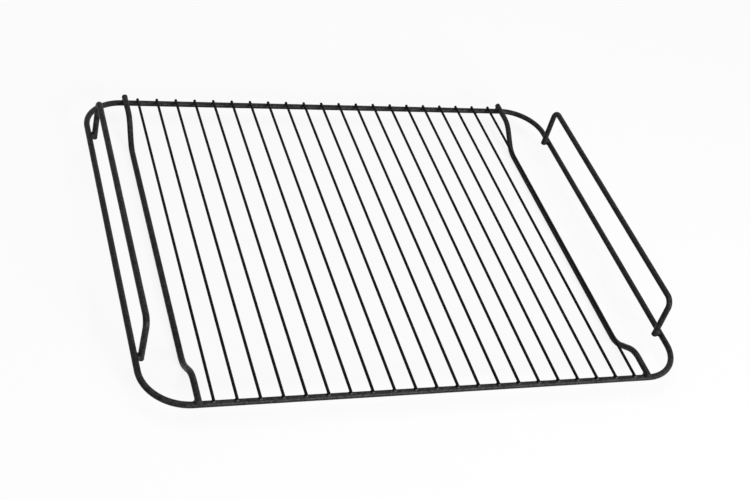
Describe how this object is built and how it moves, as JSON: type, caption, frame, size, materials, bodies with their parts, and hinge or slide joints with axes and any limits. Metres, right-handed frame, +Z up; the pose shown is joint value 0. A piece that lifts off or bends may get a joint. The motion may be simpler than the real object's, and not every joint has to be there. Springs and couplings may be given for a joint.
{
  "type": "baking dish rack",
  "caption": "Black enamelled wire rack for a baking dish: round-cornered frame, parallel grid wires, cranked rest bars that hold it off the dish, and upright lifting handles.",
  "frame": {"origin": "on the standing surface, under the middle of the rack", "axes": "+X along the frame's longer side, +Y along the grid wires from front to back, +Z up"},
  "size_m": [0.4146, 0.3346, 0.0501],
  "materials": {
    "thick_wire": "satin enamel",
    "thin_wire": "satin enamel"
  },
  "bodies": {
    "root": {"frame": "thick_wire", "left_rest_bar": "thick_wire", "right_rest_bar": "thick_wire", "left_handle": "thick_wire", "right_handle": "thick_wire", "grid_wire_01": "thin_wire", "grid_wire_02": "thin_wire", "grid_wire_03": "thin_wire", "grid_wire_04": "thin_wire", "grid_wire_05": "thin_wire", "grid_wire_06": "thin_wire", "grid_wire_07": "thin_wire", "grid_wire_08": "thin_wire", "grid_wire_09": "thin_wire", "grid_wire_10": "thin_wire", "grid_wire_11": "thin_wire", "grid_wire_12": "thin_wire", "grid_wire_13": "thin_wire", "grid_wire_14": "thin_wire", "grid_wire_15": "thin_wire", "grid_wire_16": "thin_wire", "grid_wire_17": "thin_wire", "grid_wire_18": "thin_wire", "grid_wire_19": "thin_wire", "grid_wire_20": "thin_wire", "grid_wire_21": "thin_wire"}
  },
  "joints": []
}
